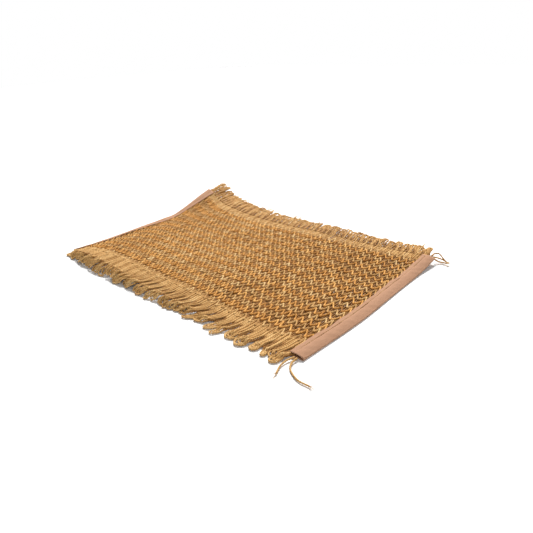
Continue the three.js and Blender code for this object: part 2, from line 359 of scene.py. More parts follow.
class Recipe:
    """Short ways to write a node tree."""

    def __init__(self, tree: bpy.types.NodeTree) -> None:
        """Keeps the tree that is written."""
        self.tree = tree

    def node(self, kind: str, **settings: object) -> bpy.types.Node:
        """Adds a node.

        Args:
            kind: type of the node.
            settings: its settings by name.

        Returns:
            The new node.
        """
        made = self.tree.nodes.new(kind)
        for name, value in settings.items():
            setattr(made, name, value)
        return made

    def feed(self, into: bpy.types.NodeSocket, value: object) -> None:
        """Fills an input socket.

        Args:
            into: the input socket.
            value: an output socket that is linked into it, or a number or colour that is set on it.
        """
        if isinstance(value, bpy.types.NodeSocket):
            self.tree.links.new(value, into)
        else:
            into.default_value = value

    def math(self, operation: str, *values: object, clamp: bool = False) -> bpy.types.NodeSocket:
        """Adds a Math node.

        Args:
            operation: what it does.
            values: its inputs in order, as sockets or numbers.
            clamp: whether its result is kept between nought and one.

        Returns:
            Its result.
        """
        made = self.node("ShaderNodeMath", operation=operation, use_clamp=clamp)
        for socket, value in zip(made.inputs, values):
            self.feed(socket, value)
        return made.outputs[0]

    def mix(self, share: object, first: object, second: object) -> bpy.types.NodeSocket:
        """Mixes two colours.

        Args:
            share: share of the second colour.
            first: the first colour, as a socket or a value.
            second: the second colour, likewise.

        Returns:
            The mixed colour.
        """
        made = self.node("ShaderNodeMix", data_type="RGBA")
        for index, value in zip((0, 6, 7), (share, first, second)):
            self.feed(made.inputs[index], value)
        return made.outputs[2]

    def vector(self, x: object, y: object, z: object) -> bpy.types.NodeSocket:
        """Joins three numbers into a vector.

        Args:
            x: the first number, as a socket or a value.
            y: the second number, likewise.
            z: the third number, likewise.

        Returns:
            The vector.
        """
        made = self.node("ShaderNodeCombineXYZ")
        for socket, value in zip(made.inputs, (x, y, z)):
            self.feed(socket, value)
        return made.outputs[0]

    def map_place(self, uv_map: str) -> bpy.types.bpy_prop_collection:
        """Adds the place on a UV map.

        Args:
            uv_map: name of the UV map.

        Returns:
            The place's three numbers as sockets.
        """
        made = self.node("ShaderNodeSeparateXYZ")
        self.feed(made.inputs[0], self.node("ShaderNodeUVMap", uv_map=uv_map).outputs[0])
        return made.outputs

    def bump(self, into: bpy.types.NodeSocket, height: object, strength: float, distance: float) -> None:
        """Feeds a height, as a bump, into a normal socket.

        Args:
            into: the normal socket.
            height: the height.
            strength: strength of the bump.
            distance: how far a height of one stands out.
        """
        made = self.node("ShaderNodeBump")
        made.inputs["Strength"].default_value = strength
        made.inputs["Distance"].default_value = distance
        self.feed(made.inputs["Height"], height)
        self.feed(into, made.outputs[0])

    def noise(self, where: object, scale: float, detail: float = 2.0,
              rough: float = 0.5) -> bpy.types.NodeSocket:
        """Adds a noise texture.

        Args:
            where: where it is read.
            scale: its scale.
            detail: how many finer layers it has.
            rough: how strong these are.

        Returns:
            Its value.
        """
        made = self.node("ShaderNodeTexNoise")
        self.feed(made.inputs["Vector"], where)
        self.feed(made.inputs["Scale"], scale)
        self.feed(made.inputs["Detail"], detail)
        self.feed(made.inputs["Roughness"], rough)
        return made.outputs[0]


def new_material(name: str, roughness: float, specular: float) -> tuple:
    """Starts a material.

    Args:
        name: name of the material.
        roughness: how rough its surface is.
        specular: specular level of its surface.

    Returns:
        The material, a recipe for it, and the input sockets of its shader.
    """
    made = bpy.data.materials.new(name)
    made.use_nodes = True
    sockets = made.node_tree.nodes["Principled BSDF"].inputs
    sockets["Roughness"].default_value = roughness
    sockets["Specular IOR Level"].default_value = specular
    return made, Recipe(made.node_tree), sockets


def new_group(name: str, inputs: dict[str, float], outputs: tuple[str, ...]) -> tuple:
    """Starts a shader node group.

    Args:
        name: name of the group.
        inputs: names of its value inputs, each with its usual value.
        outputs: names of its value outputs.

    Returns:
        The group, a recipe for it, its input sockets by name, and its output node.
    """
    tree = bpy.data.node_groups.new(name, "ShaderNodeTree")
    for label, usual in inputs.items():
        tree.interface.new_socket(label, in_out="INPUT", socket_type="NodeSocketFloat").default_value = usual
    for label in outputs:
        tree.interface.new_socket(label, in_out="OUTPUT", socket_type="NodeSocketFloat")
    recipe = Recipe(tree)
    source = recipe.node("NodeGroupInput")
    target = recipe.node("NodeGroupOutput")
    return tree, recipe, source.outputs, target.inputs


def yarn_twist_group() -> bpy.types.NodeTree:
    """Makes the group for twisted yarn: two plies, and the fibres that run along them.

    Returns:
        The group. It puts out the surface's height, a mask of the groove between the plies for painted shade,
        and the fibres' shade.
    """
    inputs = {"Turns": 0.0, "Around": 0.0, "Fibres": 9.0, "Ply Height": 0.6}
    tree, recipe, source, target = new_group("yarn twist", inputs, ("Height", "Painted Groove Shade", "Fibre"))
    around = recipe.math("SUBTRACT", source["Around"], source["Turns"])
    wave = recipe.math("COSINE", recipe.math("MULTIPLY", around, 2 * math.tau))
    ply = recipe.math("MULTIPLY_ADD", wave, 0.5, 0.5)
    # Groove between the plies: the materials use this mask to paint shade into the crease
    groove = recipe.math("POWER", recipe.math("SUBTRACT", 1.0, ply), 3.0)
    lengthwise = recipe.math("MULTIPLY", source["Turns"], 1.6)
    sideways = recipe.math("MULTIPLY", around, source["Fibres"])
    fibre = recipe.noise(recipe.vector(lengthwise, sideways, 0.0), 1.0, 3.0, 0.6)
    raised = recipe.math("MULTIPLY", ply, source["Ply Height"])
    recipe.feed(target["Height"], recipe.math("MULTIPLY_ADD", fibre, 0.5, raised))
    recipe.feed(target["Painted Groove Shade"], groove)
    recipe.feed(target["Fibre"], fibre)
    return tree


@dataclass(frozen=True)
class YarnFinish:
    """Jute yarn: its shades from dark to light, and how rough and deep its twist is."""

    name: str
    dark: tuple[float, float, float]
    middle: tuple[float, float, float]
    light: tuple[float, float, float]
    relief: float = 0.0002
    fibres: float = 9.0
    ply_height: float = 0.6
    roughness: float = 0.85
    specular: float = 0.25
    # Where the dark and the light end of the shades lie on the ramp
    ramp_ends: tuple[float, float] = (0.12, 0.88)
    # How much darker than the dark shade the painted shade in the ply grooves and on deeply shaded yarns, and
    # the dark specks, are
    painted_shade_and_speck_darkness: float = 0.45

    def material(self, twist: bpy.types.NodeTree) -> bpy.types.Material:
        """Makes the material.

        Args:
            twist: the yarn twist group.

        Returns:
            The material, which reads the piece's UV map and its tone attribute.
        """
        made, recipe, sockets = new_material(self.name, self.roughness, self.specular)
        turns, around, _ = recipe.map_place("yarn")
        group = recipe.node("ShaderNodeGroup", node_tree=twist)
        recipe.feed(group.inputs["Turns"], turns)
        recipe.feed(group.inputs["Around"], around)
        recipe.feed(group.inputs["Fibres"], self.fibres)
        recipe.feed(group.inputs["Ply Height"], self.ply_height)
        tone = recipe.node("ShaderNodeAttribute", attribute_name="tone").outputs["Fac"]
        spot = recipe.node("ShaderNodeTexCoord").outputs["Object"]
        patch = recipe.noise(spot, 90.0, 2.0, 0.5)
        fleck = recipe.noise(spot, 900.0, 2.0, 0.6)
        shade = recipe.math("MULTIPLY_ADD", group.outputs["Fibre"], 0.9, recipe.math("MULTIPLY", tone, 0.5))
        shade = recipe.math("MULTIPLY_ADD", patch, 0.5, shade)
        shade = recipe.math("SUBTRACT", shade, 0.45, clamp=True)
        ramp = recipe.node("ShaderNodeValToRGB")
        recipe.feed(ramp.inputs[0], shade)
        for stop, position, colour in zip(ramp.color_ramp.elements, self.ramp_ends, (self.dark, self.light)):
            stop.position, stop.color = position, (*colour, 1.0)
        ramp.color_ramp.elements.new(0.5).color = (*self.middle, 1.0)
        # Painted shade: darker in the groove between the plies and on yarns whose tone is pushed low where
        # they lie in shade; the specks are the jute's own dark flecks
        shade_and_specks = recipe.math("MULTIPLY", group.outputs["Painted Groove Shade"], 0.45)
        painted_buried_shade = recipe.math("MULTIPLY_ADD", tone, -0.5, -0.3, clamp=True)
        shade_and_specks = recipe.math("ADD", shade_and_specks, painted_buried_shade)
        speck = recipe.math("GREATER_THAN", fleck, 0.66)
        shade_and_specks = recipe.math("MULTIPLY_ADD", speck, 0.35, shade_and_specks, clamp=True)
        shade_and_speck_colour = tuple(self.painted_shade_and_speck_darkness * value for value in self.dark)
        recipe.feed(sockets["Base Color"], recipe.mix(shade_and_specks, ramp.outputs[0], (*shade_and_speck_colour, 1.0)))
        recipe.bump(sockets["Normal"], group.outputs["Height"], 0.8, self.relief)
        return made


@dataclass(frozen=True)
class CottonFinish:
    """Plain-woven cotton: its thread colours, the painted shade between its threads, and the pitch of its
    threads.
    """

    name: str = "cotton_binding"
    thread: tuple[float, float, float] = (0.42, 0.225, 0.13)
    # Painted shade in the gaps between the threads
    painted_gap_shade: tuple[float, float, float] = (0.26, 0.125, 0.065)
    worn: tuple[float, float, float] = (0.49, 0.285, 0.18)
    pitch: float = 0.0006
    # Slubs, the thicker stretches of thread, by the metre across and along the thread
    slubs: tuple[float, float] = (1600.0, 120.0)
    relief: float = 0.0001
    roughness: float = 0.9
    specular: float = 0.2

    def material(self) -> bpy.types.Material:
        """Makes the material.

        Returns:
            The material, which reads the piece's UV map in metres.
        """
        made, recipe, sockets = new_material(self.name, self.roughness, self.specular)
        across, along, _ = recipe.map_place("cloth")
        turn = math.tau / self.pitch
        warp = recipe.math("SINE", recipe.math("MULTIPLY", across, turn))
        weft = recipe.math("SINE", recipe.math("MULTIPLY", along, turn))
        check = recipe.math("MULTIPLY", warp, weft)
        weave = recipe.math("MULTIPLY_ADD", check, 0.5, 0.5)
        spot = recipe.node("ShaderNodeTexCoord").outputs["Object"]
        slub_place = recipe.vector(recipe.math("MULTIPLY", across, self.slubs[0]),
                                   recipe.math("MULTIPLY", along, self.slubs[1]), 0.0)
        slub = recipe.noise(slub_place, 1.0, 2.0, 0.6)
        patch = recipe.noise(spot, 60.0, 3.0, 0.6)
        # Painted shade in the gaps between the threads of the weave
        base = recipe.mix(recipe.math("MULTIPLY", weave, 0.6), (*self.painted_gap_shade, 1.0), (*self.thread, 1.0))
        base = recipe.mix(0.75, base, (*self.thread, 1.0))
        share = recipe.math("MULTIPLY_ADD", slub, 0.5, recipe.math("MULTIPLY", patch, 0.5))
        base = recipe.mix(recipe.math("SUBTRACT", share, 0.2, clamp=True), base, (*self.worn, 1.0))
        recipe.feed(sockets["Base Color"], base)
        recipe.bump(sockets["Normal"], recipe.math("MULTIPLY_ADD", slub, 0.6, weave), 0.7, self.relief)
        return made


@dataclass
class Weave:
    """The woven body: pairs of short-way yarns, held by rows of cord that zigzag over them."""

    lay: MatLay
    # Widths of one column of zigzags at places along the mat
    column_places: tuple = (-0.227, -0.140, -0.080, 0.0, 0.070, 0.105, 0.145, 0.180, 0.227)
    column_widths: tuple = (0.0088, 0.0082, 0.0077, 0.0074, 0.0072, 0.0069, 0.0079, 0.0087, 0.0087)
    # How far the rows are spread at places along the mat
    spread_places: tuple = (-0.227, -0.180, -0.140, -0.100, 0.227)
    spreads: tuple = (1.11, 1.085, 1.03, 1.0, 1.0)
    row_pitch: float = 0.01062
    first_row: float = -0.1124
    rows: int = 23
    swing: float = 0.0051
    cord_radius: float = 0.00098
    back_radius: float = 0.00085
    yarn_radius: float = 0.00078
    loose_share: float = 0.57
    yarn_steps: int = 82
    overlap: float = 0.0012
    yarn_height: float = 0.0023
    yarn_dip: float = 0.00025
    # Half the distance between a pair's yarns at the usual pitch, and how it grows with the pitch
    pair_gap: float = 0.00078
    pair_growth: float = 0.18
    usual_pitch: float = 0.0037
    # How far inside the first and the last row the yarns come loose, and over what length
    loose_inside: tuple[float, float] = (0.004, -0.002)
    loose_over: float = 0.007
    # Waves of a loose yarn, sideways and in height: size, turn by the metre, and shift from yarn to yarn
    loose_sway: tuple[float, float, float] = (0.0002, 1100.0, 9.1)
    loose_crimp: tuple[float, float, float] = (0.00012, 1400.0, 5.3)
    # How deep a yarn lies where two locks part, and how much painted shadow darkens it there
    parting_depth: float = 0.0006
    parting_painted_shadow: float = 1.3
    cord_height: float = 0.0035
    cord_rise: float = 0.00045
    cord_tone: float = 0.62
    # Painted shade: the cords beneath are darkened, as they show only in the shaded holes of the weave
    back_cord_painted_shade: float = -0.2
    # Where the looks of the left end and of the right half begin, and over what length they set in
    left_from: float = -0.06
    right_from: float = 0.02
    look_over: float = 0.12
    # How far before a binding's flap the cords begin to be pressed flat, and over what length
    press_before: float = 0.001
    press_over: float = 0.0025
    press_depth: float = 0.0016
    # How much lower the first and the last row lie in the loose yarns
    outer_row_sink: float = 0.0008
    drift_until: float = 0.200
    drift_fade: float = 0.008
    held_reach: float = 0.219
    drift_along: Wander = field(default_factory=lambda: Wander(11, 0.0006, 0.07))
    drift_across: Wander = field(default_factory=lambda: Wander(12, 0.0004, 0.05))

    def __post_init__(self) -> None:
        """Counts the columns along the mat, from its middle."""
        self.grid = np.linspace(-self.lay.length / 2, self.lay.length / 2, 600)
        width = np.interp(self.grid, self.column_places, self.column_widths)
        steps = np.diff(self.grid) * 2 / (width[1:] + width[:-1])
        columns = np.concatenate([[0.0], np.cumsum(steps)])
        self.columns = columns - np.interp(0.0, self.grid, columns)

    def column_at(self, x: Array) -> Array:
        """Count of columns at places along the mat."""
        return np.interp(x, self.grid, self.columns)

    def pair_places(self) -> tuple[Array, Array]:
        """Sets out the pairs of short-way yarns, two to a column.

        Returns:
            Their places along the mat, and the pitch at each.
        """
        low, high = self.column_at(np.array([-self.held_reach, self.held_reach]))
        counts = np.arange(math.ceil(low * 2 - 0.5), math.floor(high * 2 - 0.5) + 1) / 2 + 0.25
        places = np.interp(counts, self.columns, self.grid)
        return places, np.gradient(places)

    def row_middle(self, row: Array) -> Array:
        """Place of a row across the mat."""
        return self.first_row + row * self.row_pitch

    def loose_radii(self) -> Array:
        """Radius of each short-way yarn where it is loose: the yarns fill the cloth there."""
        pairs, pitch = self.pair_places()
        return np.repeat(pitch, 2)[:, None] / 2 * self.loose_share

    def looseness(self, y: Array) -> Array:
        """How free the short-way yarns are.

        Args:
            y: places across the mat.

        Returns:
            Nought among the rows, and one in the plain bands.
        """
        near = self.first_row + self.loose_inside[0] - y
        far = y - self.row_middle(self.rows - 1) - self.loose_inside[1]
        return ease(np.maximum(near, far) / self.loose_over)

    def drifted(self, x: Array, y: Array, at_x: Array, at_y: Array) -> tuple[Array, Array]:
        """Moves places by the weave's own unevenness, which fades out under the bindings."""
        share = 1.0 - ease((np.abs(at_x) - self.drift_until) / self.drift_fade)
        return x + share * self.drift_along.at(at_x, at_y), y + share * self.drift_across.at(at_x, at_y)

    def leftness(self, x: Array) -> Array:
        """How far the weave has changed to the more open look of its left end, with darker cords and more
        painted shade among and beneath them.
        """
        return ease((self.left_from - x) / self.look_over)

    def rightness(self, x: Array) -> Array:
        """How far the weave has changed to the look of its right half: thicker, darker cords, and more
        painted shade among and beneath them.
        """
        return ease((x - self.right_from) / self.look_over)

    def pressed(self, x: Array, y: Array) -> Array:
        """How far the cords are pressed flat under the bindings."""
        start = self.lay.held_from + self.lay.flap(x, y)
        return ease((np.abs(x) - start + self.press_before) / self.press_over)

    def yarn_places(self, y: Array) -> Array:
        """Sets out all the short-way yarns.

        Args:
            y: places across the mat, in one row.

        Returns:
            The yarns' places along the mat, in order, as yarns by places.
        """
        pairs, pitch = self.pair_places()
        hand = np.tile([-1.0, 1.0], len(pairs))[:, None]
        x, pitch = np.repeat(pairs, 2)[:, None], np.repeat(pitch, 2)[:, None]
        loose = self.looseness(y)
        tight = self.pair_gap + self.pair_growth * (pitch - self.usual_pitch)
        draw = np.random.default_rng(21)
        shift = Wander(22, 0.0002, 0.03).at(x * 40.0, y + 0 * x) + draw.normal(0, 0.0001, x.shape)
        return x + hand * (tight * (1 - loose) + pitch / 4 * loose) + shift

    @staticmethod
    def waves(y: Array, yarns: int, wave: tuple[float, float, float]) -> Array:
        """Waves along all the yarns, from their size, turn by the metre and shift from yarn to yarn."""
        size, turn, shift = wave
        return size * np.sin(y * turn + shift * np.arange(yarns)[:, None])

    @staticmethod
    def layered(x: Array) -> Array:
        """Heights that lay loose neighbouring yarns a little over each other."""
        count = np.arange(len(x))[:, None]
        return 0.00028 * np.where(count % 2 == 0, 1.0, -1.0) + 0.0002 * np.sin(2.4 * count) + 0 * x

    def yarn_tones(self) -> Array:
        """Shade of each short-way yarn."""
        count = 2 * len(self.pair_places()[0])
        return np.random.default_rng(23).uniform(0.2, 0.8, count)

    def short_way_yarns(self, locks: dict) -> bpy.types.Object:
        """Makes the pairs of short-way yarns.

        Args:
            locks: for each long edge, the locks in which the yarns gather before it.

        Returns:
            The mesh object of all of them.
        """
        yarns = YarnSet(sides=5, seed=100)
        half = self.lay.width / 2
        y = np.linspace(-half - self.overlap, half + self.overlap, self.yarn_steps)[None]
        x, parting = self.yarn_places(y), 0.0
        for edge, lock in locks.items():
            x = lock.gathered(x, edge.value * y - half)
            parting = parting + lock.parting(edge.value * y - half)
        loose = self.looseness(y)
        between = np.cos(math.tau * (y - self.first_row) / self.row_pitch)
        n = self.yarn_height - self.yarn_dip * (1 - loose) * between + self.layered(x) * loose
        gx, gy = self.drifted(x, y + 0 * x, x, y + 0 * x)
        x = x + self.waves(y, len(x), self.loose_sway) * loose
        n = n + self.waves(y, len(x), self.loose_crimp) * loose
        radius = self.yarn_radius * (1 - loose) + self.loose_radii() * loose
        radius = radius * np.where(np.abs(y) > half, 0.8, 1.0)
        n = n - self.parting_depth * parting
        # Painted shade: the yarns among the rows are darkened where they lie under and between the cords,
        # more at the left end and in the right half
        painted_ground_shade = 0.65 + 0.5 * self.leftness(x) + 0.75 * self.rightness(x)
        tone = self.yarn_tones()[:, None] - self.parting_painted_shadow * parting - painted_ground_shade * (1 - loose) - 0.12 * loose
        yarns.add(self.lay.point(gx, gy, n), radius, turn=0.0052, lobe=0.08, flat=0.85, tone=tone)
        return yarns.build("woven_ground")

    def row_lines(self, rows: Array, steps: float) -> tuple[Array, Array, Array]:
        """Lines of the zigzag cords.

        Args:
            rows: which rows are made, counted from the near edge.
            steps: steps in one column.

        Returns:
            Places along the mat, the rows' middles, and the phase of the zigzag, all as rows by steps.
        """
        reach = self.held_reach - 0.003
        low, high = self.column_at(np.array([-reach, reach]))
        columns = np.linspace(low, high, int((high - low) * steps))[None]
        middle = self.row_middle(rows)[:, None] + 0 * columns
        columns = columns + 0 * middle
        return np.interp(columns, self.columns, self.grid), middle, math.tau * columns

    @staticmethod
    def zigzag(phase: Array) -> Array:
        """Shape of the zigzag: a wave that runs straight between its bends."""
        return 0.88 * (np.sin(phase) - 0.12 * np.sin(3 * phase) + 0.03 * np.sin(5 * phase))

    def top_cords(self, name: str, rows: Array, seed: int, darker_left: float) -> bpy.types.Object:
        """Makes the cords that zigzag over the top face.

        Args:
            name: name of the piece.
            rows: which rows are made.
            seed: seed of the random draws.
            darker_left: how much darker the cords are at the mat's left end.

        Returns:
            The mesh object of the cords.
        """
        cords = YarnSet(sides=7, seed=seed)
        x, middle, phase = self.row_lines(rows, 14)
        spread = np.interp(x, self.spread_places, self.spreads)
        uneven = Wander(seed + 1, 1.0, 0.014, 11)
        left, pressed = self.leftness(x), self.pressed(x, middle)
        swing = self.swing * (1 + 0.11 * uneven.at(x, middle) + 0.1 * left)
        across = (middle + swing * self.zigzag(phase)) * spread + 0.0005 * uneven.at(x + 2.0, middle)
        gx, gy = self.drifted(x + 0.0006 * uneven.at(x + 1.0, middle), across, x, middle)
        rise = self.cord_rise * (1 + 0.5 * left) * (1 - 0.8 * pressed)
        n = self.cord_height - self.press_depth * pressed - rise * np.cos(2 * phase)
        n = n + 0.0002 * uneven.at(x, middle + 1.0)
        inner = ((rows > 0) & (rows < self.rows - 1))[:, None]
        right = self.rightness(x)
        radius = self.cord_radius * (1 - 0.14 * left + 0.13 * right)
        n = np.maximum(n - self.outer_row_sink * (1 - inner), radius * 1.15)
        tone = self.cord_tone + 0.22 * uneven.at(x + 3.0, middle * 3)
        tone = tone - darker_left * left * inner - 0.12 * right
        cords.add(self.lay.point(gx, gy, n), radius, turn=0.0062, lobe=0.1, tone=tone)
        return cords.build(name)

    def back_cords(self, name: str, rows: Array, seed: int) -> bpy.types.Object:
        """Makes the cords that hold the yarns from beneath.

        Args:
            name: name of the piece.
            rows: which rows are made.
            seed: seed of the random draws.

        Returns:
            The mesh object of the cords.
        """
        cords = YarnSet(sides=5, seed=seed)
        x, middle, phase = self.row_lines(rows, 9)
        spread = np.interp(x, self.spread_places, self.spreads)
        across = (middle - self.swing * (np.sin(phase) - 0.08 * np.sin(3 * phase))) * spread
        gx, gy = self.drifted(x, across, x, middle)
        n = self.back_radius + 0.00005 + 0.0003 * (1 + np.cos(2 * phase)) / 2
        # Painted shade, deeper at the left end and in the right half
        tone = self.back_cord_painted_shade - 0.4 * self.leftness(x) - 0.6 * self.rightness(x)
        cords.add(self.lay.point(gx, gy, n), self.back_radius, turn=0.0062, lobe=0.08, tone=tone)
        return cords.build(name)


@dataclass
class Locks:
    """How the yarns of one long edge are gathered in leaning locks of nested loops."""

    weave: Weave
    edge: Edge
    seed: int
    # How many loops a lock has left and right of the place where its edge changes
    sizes: tuple[tuple[int, ...], tuple[int, ...]]
    # How far inside the edge the locks part there
    starts: tuple[float, float]
    change: float
    # Whether both outer yarns of a lock lie in shadow, or one
    both_sides: bool
    lean_places: tuple[float, ...]
    leans: tuple[float, ...]
    lean_spread: float
    narrow: float
    # Where the shadow between two locks starts to fade, past the edge
    shade_from: float
    # How much the locks' starts differ, over what length the two sizes change, and over what lengths past its
    # start a lock leans, gathers and parts from the next, and over what length the shadow fades
    start_spread: float = 0.0015
    change_over: float = 0.03
    lean_over: float = 0.004
    gather_over: float = 0.006
    part_before: float = 0.001
    part_over: float = 0.003
    fade_over: float = 0.010

    def __post_init__(self) -> None:
        """Shares the yarns out among the locks, and slants these."""
        draw = np.random.default_rng(self.seed)
        self.roots = self.weave.yarn_places(np.array([[self.edge.value * self.weave.lay.width / 2]]))[:, 0]
        self.spans, start = [], 0
        while start < len(self.roots):
            sizes = self.sizes[int(self.roots[start] > self.change)]
            size = min(2 * int(draw.choice(sizes)), len(self.roots) - start)
            self.spans.append((start, start + size))
            start += size
        middles = np.array([self.roots[a:b].mean() for a, b in self.spans])
        order = np.arange(len(middles))
        wave = 0.6 * np.sin(0.55 * order) + 0.5 * np.sin(1.3 * order + 1.0)
        wave = wave + 0.5 * draw.normal(0, 1, len(middles))
        lean = np.interp(middles, self.lean_places, self.leans) + self.lean_spread * wave
        counts = [b - a for a, b in self.spans]
        self.centre, self.lean = np.repeat(middles, counts), np.repeat(lean, counts)
        share = ease((middles - self.change) / self.change_over + 0.5)
        start = self.starts[0] * (1 - share) + self.starts[1] * share
        start = start + draw.uniform(-self.start_spread, self.start_spread, len(share))
        self.start = np.repeat(start, counts)[:, None]

    def slanted(self, past: Array) -> Array:
        """How far all the yarns have leant aside at distances past the edge."""
        run = np.maximum(past + self.start, 0.0)
        return self.lean[:, None] * run * run / (run + self.lean_over)

    def gathered(self, x: Array, past: Array) -> Array:
        """Draws all the yarns into their locks.

        Args:
            x: places of all the yarns along the mat, by steps.
            past: distance of each step past the edge, which is below nought inside the mat.

        Returns:
            The drawn places.
        """
        share = ease((past + self.start) / self.gather_over)
        drawn = x + (self.centre[:, None] - x) * share * (1 - self.narrow)
        return drawn + self.slanted(past)

    def parting(self, past: Array) -> Array:
        """How deep each yarn lies in the shadow between two locks. Only the outer yarns of a lock do, and
        only as far as it has not spread again.

        Args:
            past: distances past the edge.

        Returns:
            The depth from nought to one, as yarns by distances.
        """
        outer = np.zeros((len(self.roots), 1))
        for start, end in self.spans:
            outer[start] = 1.0
            outer[end - 1] = float(self.both_sides)
        parted = ease((past + self.start + self.part_before) / self.part_over)
        return outer * parted * (1 - ease((past - self.shade_from) / self.fade_over))


